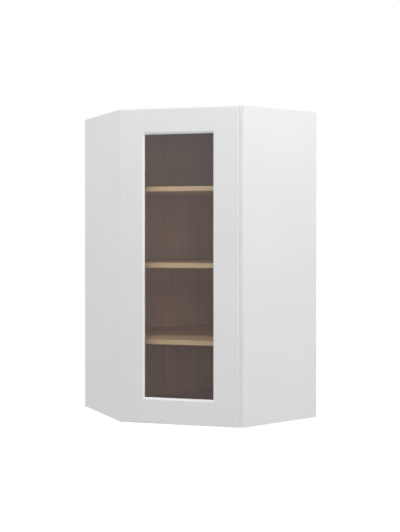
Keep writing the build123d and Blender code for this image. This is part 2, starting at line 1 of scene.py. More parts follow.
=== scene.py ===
# %% [markdown]
# A diagonal corner wall cabinet: white paint outside, maple inside, one framed
# glass door. The joiner's work is already done: every board, rail and hinge
# comes in as a fixed part, in metres, with the walls as the planes x = 0 and
# y = 0 and the underside at z = 0. What is left is the finish of each part, the
# screws and the light.

# %% Load the cabinet's parts
from functools import partial
from math import pi, radians

import bmesh
import bpy
from mathutils import Matrix, Vector


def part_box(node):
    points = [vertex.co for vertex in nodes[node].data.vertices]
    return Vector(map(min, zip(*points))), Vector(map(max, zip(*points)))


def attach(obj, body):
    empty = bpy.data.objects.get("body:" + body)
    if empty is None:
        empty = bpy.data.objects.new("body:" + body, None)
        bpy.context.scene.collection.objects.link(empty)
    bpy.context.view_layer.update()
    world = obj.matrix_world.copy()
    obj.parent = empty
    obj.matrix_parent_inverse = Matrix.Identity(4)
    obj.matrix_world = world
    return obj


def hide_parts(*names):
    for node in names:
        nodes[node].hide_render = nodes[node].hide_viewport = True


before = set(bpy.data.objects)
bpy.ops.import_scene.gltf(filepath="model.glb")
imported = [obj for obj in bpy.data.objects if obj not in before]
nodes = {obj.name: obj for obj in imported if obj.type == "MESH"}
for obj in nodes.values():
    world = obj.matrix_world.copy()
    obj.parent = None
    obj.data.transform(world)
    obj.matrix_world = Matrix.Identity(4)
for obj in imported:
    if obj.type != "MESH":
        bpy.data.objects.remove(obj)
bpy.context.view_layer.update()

scene = bpy.context.scene

# %% [markdown]
# The camera stands where the photographer stood: level, a little above the
# middle of the cabinet and to the right of its door. A level camera keeps the
# upright edges upright in the picture. A long lens could give the same from
# further off, but the sides would narrow less towards the back than they do
# here. The small shift puts the cabinet left of and above the lens's axis.

# %% Camera
PICTURE_WIDTH = 400
PICTURE_HEIGHT = 532
FOCAL_LENGTH = 831.0  # in pixels of the picture
AXIS_RIGHT = 228.7  # where the lens points in the picture, from its left edge
AXIS_DOWN = 235.1  # and from its top edge
SENSOR = 36.0  # in millimetres, as the lens is
CAMERA_PLACE = (2.8971, -1.8295, 0.6375)
CAMERA_TURN = radians(57.36)  # from looking along +Y, to the left

camera = bpy.data.objects.new("camera", bpy.data.cameras.new("camera"))
scene.collection.objects.link(camera)
camera.location = CAMERA_PLACE
camera.rotation_euler = (pi / 2, 0, CAMERA_TURN)
camera.data.sensor_width = SENSOR
camera.data.lens = SENSOR * FOCAL_LENGTH / PICTURE_HEIGHT
camera.data.shift_x = (PICTURE_WIDTH / 2 - AXIS_RIGHT) / PICTURE_HEIGHT
camera.data.shift_y = (AXIS_DOWN - PICTURE_HEIGHT / 2) / PICTURE_HEIGHT
scene.camera = camera
scene.view_settings.view_transform = "Standard"
print("lens", round(camera.data.lens, 2), "mm")

# %% [markdown]
# Studio light. The right-hand side is the palest and the left-hand one the
# darkest, and each is paler at its top than at its foot. So one lamp hangs high
# on the right, and a far one lights the left side almost squarely, so that it
# hardly throws the door's shadow on the strip of stile beside it. One by the
# viewer reaches in to the backs. These are large, because a small lamp draws
# hard shadows in the door's bevels. Only the lamp high over the front is small:
# it shines steeply through the glass, and the bright strip that it lays along
# the front of each shelf ends sharply.

# %% Lamps
LAMPS = {  # place and size in metres, power in watts
    "right lamp": ((3.2, 0.9, 2.8), 2.4, 64.5),
    "top lamp": ((1.45, -1.45, 3.2), 0.5, 24.7),
    "left lamp": ((-2.2, -4.2, 1.0), 2.4, 43.0),
    "viewer's lamp": ((3.3, -2.2, 1.0), 2.2, 18.4),
}
TARGET = Vector((0.35, -0.35, 0.55))  # every lamp faces this point


def lamp(name, place, size, power):
    """A square lamp that faces the cabinet."""
    light = bpy.data.lights.new(name, "AREA")
    light.shape = "SQUARE"
    light.size = size
    light.energy = power
    made = bpy.data.objects.new(name, light)
    scene.collection.objects.link(made)
    made.location = place
    made.rotation_euler = (TARGET - Vector(place)).to_track_quat("-Z", "Y").to_euler()
    made.visible_camera = False


for name, (place, size, power) in LAMPS.items():
    lamp(name, place, size, power)
print(len(LAMPS), "lamps,", round(sum(power for place, size, power in LAMPS.values()), 1), "W")

# %% [markdown]
# A room, a floor or a finish is a tree of nodes. For a single material, linking
# them by hand in the editor is quicker. This cabinet needs some forty, which
# differ in a number or two, so each helper here adds one step to a tree and
# returns what comes out of it. A Mix node has a pair of sockets for each kind
# of value: 2 and 3 take numbers, 6 and 7 take colours.

# %% Steps of a tree
WHITE = (1, 1, 1, 1)


def node(tree, kind, inputs=None, **fields):
    """A node; an input is a number, a colour, or another node's output."""
    made = tree.nodes.new(kind)
    for name, value in fields.items():
        setattr(made, name, value)
    for name, value in (inputs or {}).items():
        if isinstance(value, bpy.types.NodeSocket):
            tree.links.new(value, made.inputs[name])
        else:
            made.inputs[name].default_value = value
    return made


def arithmetic(tree, operation, first, second=0.0):
    """The result of one sum."""
    return node(tree, "ShaderNodeMath", {0: first, 1: second}, operation=operation).outputs[0]


def stretched(tree, value, low, high, to_low=0.0, to_high=1.0):
    """An output brought from low..high to 0..1, or to another range."""
    inputs = {"Value": value, "From Min": low, "From Max": high}
    inputs.update({"To Min": to_low, "To Max": to_high})
    return node(tree, "ShaderNodeMapRange", inputs).outputs[0]


def mixed_number(tree, amount, first, second):
    """A number between two numbers or outputs."""
    return node(tree, "ShaderNodeMix", {0: amount, 2: first, 3: second}).outputs[0]


def mixed_colour(tree, amount, first, second):
    """A colour between two colours or outputs."""
    inputs = {0: amount, 6: first, 7: second}
    return node(tree, "ShaderNodeMix", inputs, data_type="RGBA").outputs[2]


def mixed_shader(tree, amount, first, second):
    """A shader between two shaders."""
    inputs = {0: amount, 1: first.outputs[0], 2: second.outputs[0]}
    return node(tree, "ShaderNodeMixShader", inputs)


def any_of(tree, outputs):
    """1 where at least one of the given outputs is 1."""
    total = outputs[0]
    for output in outputs[1:]:
        total = arithmetic(tree, "MAXIMUM", total, output)
    return total


def seen_by(tree, *kinds):
    """1 for rays of the given kinds."""
    path = node(tree, "ShaderNodeLightPath")
    return any_of(tree, [path.outputs[f"Is {kind} Ray"] for kind in kinds])


# %% [markdown]
# The room gives even light all round. What looks straight at it sees plain
# white. Glass and metal mirror a room that is a little brighter than that, and
# more so higher up, where the lamps light the ceiling. Real walls would do the
# same, but their corners would show in the picture.

# %% Room
ROOM_LIGHT = 0.37
ROOM_RISE = (0.0, 0.14)  # from level to this slope upwards,
ROOM_MIRRORED = (1.12, 1.6)  # what a mirror sees of the room rises by this much

room = bpy.data.worlds.new("room")
room.use_nodes = True
scene.world = room
tree = room.node_tree
tree.nodes.clear()
towards = node(tree, "ShaderNodeTexCoord").outputs["Generated"]
rise = node(tree, "ShaderNodeSeparateXYZ", {0: towards}).outputs["Z"]
mirrored = stretched(tree, rise, *ROOM_RISE, *ROOM_MIRRORED)
strength = mixed_number(tree, seen_by(tree, "Glossy"), 1.0, mirrored)
light = node(tree, "ShaderNodeBackground", {"Color": WHITE, "Strength": ROOM_LIGHT})
pale = node(tree, "ShaderNodeBackground", {"Color": WHITE, "Strength": strength})
surface = mixed_shader(tree, seen_by(tree, "Camera", "Glossy", "Transmission"), light, pale)
node(tree, "ShaderNodeOutputWorld", {"Surface": surface.outputs[0]})
print("room light", ROOM_LIGHT, "of white")

# %% [markdown]
# The cabinet hangs at the usual height, so the floor lies well below it and its
# shadow falls outside the picture. One large square is enough, since its far
# edge is too small to see.

# %% Floor
FLOOR_DROP = 1.37  # from the cabinet's underside
FLOOR_SIZE = 60.0


def as_object(mesh, name):
    """A bmesh as an object in the scene."""
    made = bpy.data.objects.new(name, bpy.data.meshes.new(name))
    mesh.to_mesh(made.data)
    mesh.free()
    scene.collection.objects.link(made)
    return made


square = bmesh.new()
bmesh.ops.create_grid(square, x_segments=1, y_segments=1, size=FLOOR_SIZE / 2)
bmesh.ops.translate(square, verts=square.verts, vec=(0, 0, -FLOOR_DROP))
floor = as_object(square, "floor")
print("floor", FLOOR_SIZE, "m wide,", FLOOR_DROP, "m down")

# %% [markdown]
# The floor is pale and matt. To the camera it gives off some light of its own,
# so that it meets the white room without an edge. Under the lamps it needs less
# of that than far away, and it gets only what brings it to white, so that the
# shadow still shows from other sides. A viewer below the floor looks through
# it, at the cabinet's underside.

# %% The floor's finish
FLOOR_COLOUR = (0.8, 0.8, 0.8, 1)
FAR_GLOW = 0.74
NEAR_GLOW = 0.35
MIRRORED_GLOW = 0.87  # share of the glow that glass and metal show
LIT_MIDDLE = (1.3, -1.3, -FLOOR_DROP)  # the brightest spot under the lamps
LIT_RADIUS = 2.6


def empty_material(name):
    """A material without nodes."""
    material = bpy.data.materials.new(name)
    material.use_nodes = True
    material.node_tree.nodes.clear()
    return material


def object_point(tree):
    """The point on the piece, in metres."""
    return node(tree, "ShaderNodeTexCoord").outputs["Object"]


pale_floor = empty_material("pale floor")
tree = pale_floor.node_tree
inputs = {0: object_point(tree), 1: LIT_MIDDLE}
away = node(tree, "ShaderNodeVectorMath", inputs, operation="DISTANCE").outputs["Value"]
squared = arithmetic(tree, "POWER", arithmetic(tree, "DIVIDE", away, LIT_RADIUS), 2.0)
lit = arithmetic(tree, "EXPONENT", arithmetic(tree, "MULTIPLY", squared, -1.0))
strength = mixed_number(tree, lit, FAR_GLOW, NEAR_GLOW)
dimmed = arithmetic(tree, "MULTIPLY", strength, MIRRORED_GLOW)
strength = mixed_number(tree, seen_by(tree, "Glossy"), strength, dimmed)
matt = node(tree, "ShaderNodeBsdfDiffuse", {"Color": FLOOR_COLOUR})
glow = node(tree, "ShaderNodeEmission", {"Color": WHITE, "Strength": strength})
both = node(tree, "ShaderNodeAddShader", {0: matt.outputs[0], 1: glow.outputs[0]})
upper_face = mixed_shader(tree, seen_by(tree, "Camera", "Glossy"), matt, both)
lower_face = node(tree, "ShaderNodeBsdfTransparent", {"Color": WHITE})
from_below = node(tree, "ShaderNodeNewGeometry").outputs["Backfacing"]
from_below = arithmetic(tree, "MULTIPLY", seen_by(tree, "Camera"), from_below)
surface = mixed_shader(tree, from_below, upper_face, lower_face)
node(tree, "ShaderNodeOutputMaterial", {"Surface": surface.outputs[0]})
floor.data.materials.append(pale_floor)
print("floor glow", NEAR_GLOW, "under the lamps and", FAR_GLOW, "far away")

# %% [markdown]
# Every finish is a pattern in space, tied to the cabinet and not to the camera.
# Wood is the same pattern turned so that its grain runs where the joiner ran
# it: up the sides and backs, and along the front on shelves and boards. A
# photograph wrapped round each board would need a flat copy of its faces; a
# pattern in space goes through the board, so its edges match its faces.

# %% Where a pattern lies
GRAIN_TURNS = {
    "up": (0, pi / 2, 0),
    "along right wall": (0, 0, 0),
    "along left wall": (0, 0, -pi / 2),
    "along front": (0, 0, -pi / 4),
}


def along_grain(tree, grain, start):
    """The point with X along the grain; start tells boards apart."""
    inputs = {"Vector": object_point(tree), "Rotation": GRAIN_TURNS[grain], "Location": start}
    return node(tree, "ShaderNodeMapping", inputs).outputs[0]


def scaled(tree, point, scale):
    """The point with each of its three numbers times its own scale."""
    return node(tree, "ShaderNodeMapping", {"Vector": point, "Scale": scale}).outputs[0]


def noise(tree, point, scale, detail=2.0, distortion=0.0):
    """A cloudy pattern from 0 to 1, with scale waves in a metre."""
    inputs = {"Vector": point, "Scale": scale, "Detail": detail, "Distortion": distortion}
    return node(tree, "ShaderNodeTexNoise", inputs).outputs[0]


def weighted(tree, *pairs):
    """The sum of outputs, each times its weight."""
    total = 0.0
    for output, weight in pairs:
        part = arithmetic(tree, "MULTIPLY", output, weight)
        total = arithmetic(tree, "ADD", part, total)
    return total


# %% [markdown]
# Maple is a quiet wood: a broad drift of tone, pale bands from its growth
# rings, cut into long arches where a board crosses them, and fine darker fibres
# along the grain. Each layer is noise with far fewer waves along the grain than
# across it. A brick or wave pattern would be as easy, but it would repeat.

# %% Wood
WOOD_LAYERS = {  # waves per metre along and across the grain, detail, distortion
    "drift": (1.12, 14.4, 3.0, 0.8),
    "rings": (1.2, 30, 3.0, 1.6),
    "streaks": (5, 260, 2.0, 0.0),
    "fibres": (18, 1400, 2.0, 0.0),
}
COLOUR_SHARES = {"drift": 0.35, "rings": 0.3, "streaks": 0.2, "fibres": 0.15}
HEIGHT_SHARES = {"fibres": 0.7, "streaks": 0.3}
WOOD_CONTRAST = (0.38, 0.62)  # between these the colour goes from pale to dark


def wood_pattern(tree, grain, start, pale, dark):
    """Colour, and height from 0 to 1, of planed wood."""
    point = along_grain(tree, grain, start)
    layers = {}
    for name, (along, across, detail, distortion) in WOOD_LAYERS.items():
        squeezed = scaled(tree, point, (along, across, across))
        layers[name] = noise(tree, squeezed, 1.0, detail, distortion)
    figure = weighted(tree, *[(layers[name], share) for name, share in COLOUR_SHARES.items()])
    height = weighted(tree, *[(layers[name], share) for name, share in HEIGHT_SHARES.items()])
    return mixed_colour(tree, stretched(tree, figure, *WOOD_CONTRAST), pale, dark), height


for name, (along, across, detail, distortion) in WOOD_LAYERS.items():
    print("wood", name, round(1000 / along), "mm long,", round(1000 / across, 1), "mm wide")

# %% [markdown]
# Every opaque finish ends in the same shader, and its pattern drives three
# things at once: colour, gloss and a shallow relief. Real fibres and dimples
# are both shinier or duller and higher or lower than what lies round them, so
# one height serves for both. The strips on the shelves' front edges are the
# same maple as the faces, a shade darker.

# %% Finishes, and the shelf edgings
RELIEF_DEPTH = 0.0001
EDGING_PALE = (0.66, 0.455, 0.265, 1)
EDGING_DARK = (0.51, 0.325, 0.165, 1)
EDGING_ROUGHNESS = (0.34, 0.5)
EDGING_RELIEF = 0.25


def finish(name, pattern, roughness, relief, depth=RELIEF_DEPTH, **fixed):
    """A material with one shader.

    pattern(tree) gives its colour and height; roughness is a pair that the
    height mixes; fixed holds numbers that are the same all over.
    """
    material = bpy.data.materials.new(name)
    material.use_nodes = True
    tree = material.node_tree
    shader = tree.nodes["Principled BSDF"]
    colour, height = pattern(tree)
    tree.links.new(colour, shader.inputs["Base Color"])
    tree.links.new(mixed_number(tree, height, *roughness), shader.inputs["Roughness"])
    bump = node(tree, "ShaderNodeBump", {"Strength": relief, "Distance": depth, "Height": height})
    tree.links.new(bump.outputs[0], shader.inputs["Normal"])
    for key, value in fixed.items():
        shader.inputs[key.title()].default_value = value
    return material


def give(part, material):
    """Puts a finish on a part as it is."""
    for place in nodes[part].material_slots:
        place.link = "DATA"
        place.material = material
    if not nodes[part].material_slots:
        nodes[part].data.materials.append(material)


def give_edging(part, grain, start):
    """Makes a part a strip of maple."""
    maple = partial(wood_pattern, grain=grain, start=start, pale=EDGING_PALE, dark=EDGING_DARK)
    give(part, finish(part.replace("_", " "), maple, EDGING_ROUGHNESS, EDGING_RELIEF))


LEVELS = ("lower", "middle", "upper")  # of the shelves, and of the hinges
SHELF_STARTS = {level: (5.2 + 1.9 * count, 0.8, 0) for count, level in enumerate(LEVELS)}
for level, start in SHELF_STARTS.items():
    give_edging(f"{level}_shelf_edging", "along front", start)
print("edgings on", len(SHELF_STARTS), "shelves")

# %% [markdown]
# The paint is sprayed and satin. Close up it has a faint orange peel, about
# two millimetres from dimple to dimple and a few hundredths deep. The grain
# still shows through a little, more on solid wood than on plywood, so there is
# a second, stretched pattern that runs along each member. The stiles and the
# door's frame are solid, and so are the beads round the glass and the strips on
# the edges of the top and bottom board.

# %% White paint
PAINT_WHITE = (0.82, 0.82, 0.82, 1)
PAINT_SHADED = (0.795, 0.795, 0.793, 1)
PAINT_ROUGHNESS = (0.36, 0.48)
PAINT_RELIEF = 0.16
DIMPLES = 420.0  # in a metre
COVERED_GRAIN = (8, 500, 500)  # waves in a metre, along and across
GRAIN_IN_SOLID = 0.35  # share of the grain in the relief of painted solid wood
GRAIN_IN_PLYWOOD = 0.15  # and of painted plywood
CLOUDS = 3.0  # in a metre
CLOUD_CONTRAST = (0.3, 0.7)
BOARD_STARTS = {"bottom": (0.7, 0.3, 0), "top": (3.0, 0.3, 0)}
PAINTED_PARTS = {  # direction of the grain, and where in the wood it starts
    "right_front_stile": ("up", (6.29, 0.2, 0)),
    "left_front_stile": ("up", (5.92, 0.2, 0)),
    "door_latch_stile": ("up", (5.92, 0.2, 0)),
    "door_hinge_stile": ("up", (5.92, 0.2, 0)),
    "door_bottom_rail": ("along front", (8.48, 0.6, 0)),
    "door_top_rail": ("along front", (6.89, 0.6, 0)),
    "latch_glazing_bead": ("up", (0.3, 0.9, 0)),
    "hinge_glazing_bead": ("up", (0.3, 0.9, 0)),
    "bottom_glazing_bead": ("along front", (0.5, 1.1, 0)),
    "top_glazing_bead": ("along front", (0.5, 1.1, 0)),
    "bottom_board_edging": ("along front", BOARD_STARTS["bottom"]),
    "top_board_edging": ("along front", BOARD_STARTS["top"]),
}


def paint_pattern(tree, grain, start, covered):
    """Colour and height of paint; covered is the share of the grain below it."""
    point = along_grain(tree, grain, start)
    peel = noise(tree, point, DIMPLES, 1.0)
    fibres = noise(tree, scaled(tree, point, COVERED_GRAIN), 1.0)
    clouds = stretched(tree, noise(tree, point, CLOUDS), *CLOUD_CONTRAST)
    height = weighted(tree, (peel, 1 - covered), (fibres, covered))
    return mixed_colour(tree, clouds, PAINT_WHITE, PAINT_SHADED), height


for part, (grain, start) in PAINTED_PARTS.items():
    paint = partial(paint_pattern, grain=grain, start=start, covered=GRAIN_IN_SOLID)
    give(part, finish(part.replace("_", " "), paint, PAINT_ROUGHNESS, PAINT_RELIEF))
print(len(PAINTED_PARTS), "painted parts of solid wood")

# %% [markdown]
# The boards are plywood: maple faces over crossed plies. Their edges show the
# plies as stripes, pale where the fibres run along the edge and darker where
# they are cut across. Separate materials on the faces and edges would do it
# too, but here the direction that a face looks in picks the pattern, and so
# one material serves for a whole board. Faces that look into the cabinet are
# redder than the shelves, and also darker: that darkness is painted shade of
# the cabinet's inside. The two side panels are painted outside.

# %% Plywood
MAPLE_PALE = (0.76, 0.52, 0.3, 1)
MAPLE_DARK = (0.61, 0.39, 0.2, 1)
# faces that look into the cabinet: a redder maple, and darker as painted shade of the cabinet's
# inside
INNER_TONE_AND_SHADE_PALE = (0.65, 0.425, 0.335, 1)
INNER_TONE_AND_SHADE_DARK = (0.53, 0.335, 0.25, 1)
PLY_PALE = (0.58, 0.45, 0.28, 1)
PLY_DARK = (0.33, 0.22, 0.12, 1)
PLY = 0.0018  # thickness of one ply
PLY_WANDER = 0.3  # how far a glue line strays, in plies
WANDER_WAVES = 60.0  # in a metre
PLY_CONTRAST = (0.35, 0.65)
STRIPE_SHARE = 0.7  # of a ply edge's colour; the rest is fleck
FLECKS = 900.0  # in a metre
SQUARELY = 0.5  # a face looks along an axis if its normal has more than this along it
AXES = ("X", "Y", "Z")


def facing(tree, axis, sign):
    """1 on faces that look along an axis, or against it where sign is -1."""
    normal = node(tree, "ShaderNodeTexCoord").outputs["Normal"]
    along = node(tree, "ShaderNodeSeparateXYZ", {0: normal}).outputs[axis]
    return arithmetic(tree, "GREATER_THAN", arithmetic(tree, "MULTIPLY", along, sign), SQUARELY)


def ply_edge(tree, axis, first_face):
    """Stripes through a board's thickness, from its lower face."""
    point = object_point(tree)
    place = node(tree, "ShaderNodeSeparateXYZ", {0: point}).outputs[axis]
    wander = arithmetic(tree, "MULTIPLY", noise(tree, point, WANDER_WAVES), PLY * PLY_WANDER)
    depth = arithmetic(tree, "ADD", arithmetic(tree, "SUBTRACT", place, first_face), wander)
    across = arithmetic(tree, "PINGPONG", arithmetic(tree, "DIVIDE", depth, PLY), 1.0)
    stripe = stretched(tree, across, *PLY_CONTRAST)
    fleck = noise(tree, point, FLECKS)
    amount = weighted(tree, (stripe, STRIPE_SHARE), (fleck, 1 - STRIPE_SHARE))
    return mixed_colour(tree, amount, PLY_PALE, PLY_DARK)


def board_pattern(tree, axis, first_face, grain, start, inner_side, painted_outside):
    """Plywood edges and maple faces.

    inner_side is +1 or -1 for the face that looks into the cabinet, or 0; the
    other face may be painted.
    """
    # faces that look into the cabinet get the redder, darker maple; its darkness is painted shade
    inside = facing(tree, axis, inner_side)
    pale = mixed_colour(tree, inside, MAPLE_PALE, INNER_TONE_AND_SHADE_PALE)
    dark = mixed_colour(tree, inside, MAPLE_DARK, INNER_TONE_AND_SHADE_DARK)
    maple, height = wood_pattern(tree, grain, start, pale, dark)
    is_face = any_of(tree, [facing(tree, axis, 1), facing(tree, axis, -1)])
    colour = mixed_colour(tree, is_face, ply_edge(tree, axis, first_face), maple)
    if painted_outside:
        white, peel = paint_pattern(tree, grain, start, GRAIN_IN_PLYWOOD)
        outside = facing(tree, axis, -inner_side)
        colour = mixed_colour(tree, outside, colour, white)
        height = mixed_number(tree, outside, height, peel)
    return colour, height


# %% [markdown]
# Each board gets its plywood: the axis that its thickness lies along, the way
# its grain runs, a start of its own in the wood, and which side looks in.

# %% Boards
BOARD_ROUGHNESS = (0.36, 0.5)
BOARD_RELIEF = 0.2


def give_board(part, axis, grain, start, inner_side=0, painted_outside=False):
    """Makes a part a plywood board."""
    low, high = (corner[AXES.index(axis)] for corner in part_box(part))
    plywood = partial(
        board_pattern,
        axis=axis,
        first_face=low,
        grain=grain,
        start=start,
        inner_side=inner_side,
        painted_outside=painted_outside,
    )
    give(part, finish(part.replace("_", " "), plywood, BOARD_ROUGHNESS, BOARD_RELIEF))
    print(part, round((high - low) * 1000, 1), "mm,", round((high - low) / PLY), "plies")


give_board("right_side_panel", "X", "up", (0, 0, 0), inner_side=-1, painted_outside=True)
give_board("left_side_panel", "Y", "up", (1.3, 0, 0), inner_side=1, painted_outside=True)
give_board("right_back_panel", "Y", "up", (2.7, 0.4, 0), inner_side=-1)
give_board("left_back_panel", "X", "up", (4.1, 0.9, 0), inner_side=1)
give_board("bottom_board", "Z", "along front", BOARD_STARTS["bottom"], inner_side=1)
give_board("top_board", "Z", "along front", BOARD_STARTS["top"], inner_side=-1)
for level, start in SHELF_STARTS.items():
    give_board(f"{level}_shelf", "Z", "along front", start)

# %% [markdown]
# The hanging rails, the batten, the dowels and the splines are never finished.
# They are plain softwood, greyer than the maple and a good deal rougher. Rails,
# batten and splines have their grain along their length. The dowels are out of
# sight in their holes, where one direction does for a whole group.

# %% Bare wood
BARE_PALE = (0.66, 0.51, 0.34, 1)
BARE_DARK = (0.52, 0.37, 0.22, 1)
BARE_ROUGHNESS = (0.6, 0.75)
BARE_RELIEF = 0.5
BARE_PARTS = {  # direction of the grain, and where in the wood it starts
    "corner_batten": ("up", (3.3, 0.2, 0.1)),
    "right_mitre_spline": ("up", (1.1, 0.5, 0)),
    "left_mitre_spline": ("up", (2.2, 0.6, 0)),
    "rail_dowels": ("up", (0.4, 0.1, 0)),
    "door_dowels": ("along front", (0.9, 0.7, 0)),
    "right_lower_hanging_rail": ("along right wall", (0.6, 0.2, 0)),
    "right_upper_hanging_rail": ("along right wall", (2.3, 0.2, 0)),
    "left_lower_hanging_rail": ("along left wall", (0.6, 1.2, 0)),
    "left_upper_hanging_rail": ("along left wall", (2.3, 1.2, 0)),
}

for part, (grain, start) in BARE_PARTS.items():
    softwood = partial(wood_pattern, grain=grain, start=start, pale=BARE_PALE, dark=BARE_DARK)
    give(part, finish(part.replace("_", " "), softwood, BARE_ROUGHNESS, BARE_RELIEF))
print(len(BARE_PARTS), "parts of bare wood")

# %% [markdown]
# Window glass is nearly all reflection and straight passage: seen this squarely
# it gives back a few parts in a hundred of the room at each of its two faces
# and lets the rest through. A pane this thin doesn't visibly bend what lies
# behind it, so a clear shader mixed with a mirror by Fresnel's law does the
# job, and unlike true refraction it lets the lamps into the cabinet. Light that
# goes in unbent would meet the far face at angles that real light never has
# there, so the first face mirrors for both and the far one is left clear.

# %% Glass
GLASS_IOR = 1.37
GLASS_FACES = 2.0
GLASS_TINT = (0.97, 0.975, 0.97, 1)  # for each face
GLASS_ROUGHNESS = 0.02
RIPPLES = 4.0  # in a metre
RIPPLE_RELIEF = 0.05
RIPPLE_DEPTH = 0.0005

clear_glass = empty_material("clear glass")
tree = clear_glass.node_tree
through = node(tree, "ShaderNodeBsdfTransparent", {"Color": GLASS_TINT})
ripple = noise(tree, object_point(tree), RIPPLES, 1.0)
inputs = {"Strength": RIPPLE_RELIEF, "Distance": RIPPLE_DEPTH, "Height": ripple}
bump = node(tree, "ShaderNodeBump", inputs)
inputs = {"Color": WHITE, "Roughness": GLASS_ROUGHNESS, "Normal": bump.outputs[0]}
mirror = node(tree, "ShaderNodeBsdfAnisotropic", inputs)  # the editor calls it Glossy
law = node(tree, "ShaderNodeFresnel", {"IOR": GLASS_IOR}).outputs[0]
far_face = node(tree, "ShaderNodeNewGeometry").outputs["Backfacing"]
first_face = arithmetic(tree, "SUBTRACT", 1.0, far_face)
share = arithmetic(tree, "MULTIPLY", law, arithmetic(tree, "MULTIPLY", first_face, GLASS_FACES))
surface = mixed_shader(tree, share, through, mirror)
node(tree, "ShaderNodeOutputMaterial", {"Surface": surface.outputs[0]})
give("door_glass", clear_glass)
print("a face seen squarely mirrors", round(((GLASS_IOR - 1) / (GLASS_IOR + 1)) ** 2, 4))

# %% [markdown]
# The metal is nickel-plated steel. Its colour hardly varies, so what tells it
# from paint is a fine drawn grain in its gloss.

# %% Nickel
NICKEL = (0.66, 0.645, 0.62, 1)
NICKEL_WORN = (0.58, 0.56, 0.53, 1)
NICKEL_ROUGHNESS = (0.23, 0.33)
NICKEL_RELIEF = 0.05
NICKEL_DEPTH = 0.00003
DRAWN_GRAIN = (4000, 4000, 120)  # waves in a metre, fewest up and down
BLOTCHES = 90.0  # in a metre
BLOTCH_CONTRAST = (0.3, 0.7)
METAL_PARTS = ["hinge_pins", "hinge_springs", "glazing_brads"]
for level in LEVELS:
    METAL_PARTS += [f"{level}_hinge_arm", f"{level}_hinge_cup", f"{level}_shelf_pins"]


def nickel_pattern(tree):
    """Colour and height of plated steel."""
    point = object_point(tree)
    drawn = noise(tree, scaled(tree, point, DRAWN_GRAIN), 1.0, 1.0)
    blotch = stretched(tree, noise(tree, point, BLOTCHES, 3.0), *BLOTCH_CONTRAST)
    return mixed_colour(tree, blotch, NICKEL, NICKEL_WORN), drawn


nickel = finish(
    "nickel plate", nickel_pattern, NICKEL_ROUGHNESS, NICKEL_RELIEF, NICKEL_DEPTH, metallic=1.0
)
for part in METAL_PARTS:
    give(part, nickel)
print(len(METAL_PARTS), "nickel parts")

# %% [markdown]
# The two dots that the door closes against are soft and milky, so they let some
# of the paint behind them show. True scattering inside such thin dots would
# take long to render and look the same.

# %% Soft plastic
BUMPER_CLEAR = (0.8, 0.8, 0.78, 1)
BUMPER_MILKY = (0.7, 0.7, 0.67, 1)
BUMPER_ROUGHNESS = (0.25, 0.35)
BUMPER_RELIEF = 0.1
HAZE = 300.0  # waves in a metre


def bumper_pattern(tree):
    """Colour and height of the soft dots."""
    haze = noise(tree, object_point(tree), HAZE)
    return mixed_colour(tree, haze, BUMPER_CLEAR, BUMPER_MILKY), haze


soft_plastic = finish("soft plastic", bumper_pattern, BUMPER_ROUGHNESS, BUMPER_RELIEF, alpha=0.6)
give("door_bumpers", soft_plastic)
print("bumpers finished")

# %% [markdown]
# With the door open the eye goes to the screws. A real one has a pressed head
# with a cross recess and a rolled thread. The parts only mark where each screw
# sits and how large it is, so the screws are made anew on those marks. Each
# mark is one loose piece of the part's mesh: its longest side is the screw's
# axis, and its widest ring shows which end the head is on.

# %% Where the screws sit
DOOR_FRAME = Matrix.Rotation(radians(45), 4, "Z")  # the door hangs at 45 degrees
WALL_FRAME = Matrix.Identity(4)
SAME_POINT = 1e-6
SAME_RADIUS = 1e-5


def loose_pieces(part):
    """The points of each separate solid of a part, from the lowest solid up."""
    mesh = bmesh.new()
    mesh.from_mesh(nodes[part].data)
    bmesh.ops.remove_doubles(mesh, verts=mesh.verts, dist=SAME_POINT)
    waiting = set(mesh.verts)
    pieces = []
    for first in mesh.verts:
        if first not in waiting:
            continue
        waiting.remove(first)
        piece = [first]
        for corner in piece:
            around = {edge.other_vert(corner) for edge in corner.link_edges} & waiting
            waiting -= around
            piece += around
        pieces.append([corner.co.copy() for corner in piece])
    mesh.free()

    def lowest_corner(points):
        """The height, then the place, to a tenth of a millimetre."""
        return [round(min(point[axis] for point in points), 4) for axis in (2, 0, 1)]

    return sorted(pieces, key=lowest_corner)


def screw_place(points, frame_turn):
    """The middle of a screw's head, from above, and the way that it goes in."""
    local = [frame_turn.inverted() @ point for point in points]
    low = Vector([min(point[axis] for point in local) for axis in range(3)])
    high = Vector([max(point[axis] for point in local) for axis in range(3)])
    along = max(range(3), key=lambda axis: high[axis] - low[axis])
    middle = (low + high) / 2

    def from_axis(point):
        """How far a point lies from the screw's axis."""
        away = point - middle
        away[along] = 0
        return away.length

    widest = max(from_axis(point) for point in local)
    rim = [point[along] for point in local if from_axis(point) > widest - SAME_RADIUS]
    head_is_high = sum(rim) / len(rim) > middle[along]
    top, way = middle.copy(), Vector((0, 0, 0))
    top[along] = high[along] if head_is_high else low[along]
    way[along] = -1 if head_is_high else 1
    return frame_turn @ top, frame_turn @ way


# %% [markdown]
# The head is a short cylinder or cone with its rim rounded. Its cross recess
# is cut with a tapered cross, because a cut leaves the sharp edge that a punch
# leaves; pushing in some of the head's own faces would follow their ring, not
# the cross. The cross is five cells of a grid, the same five again further
# down and smaller, and a wall below each edge of the outline. The extrude
# operator would make these walls as well, but in another order at each run.

# %% Screw heads
RIM_SIDES = 32
ROUNDED_RIM = (0.55, 5)  # of the head's height, and steps of the rounding
COUNTERSUNK_RIM = (0.12, 2)
RECESS_DEPTH = 0.7  # of the head's height
RECESS_REACH = 0.62  # of the head's radius
RECESS_ARM = 0.16  # half an arm's width, of the head's radius
RECESS_TAPER = 0.55


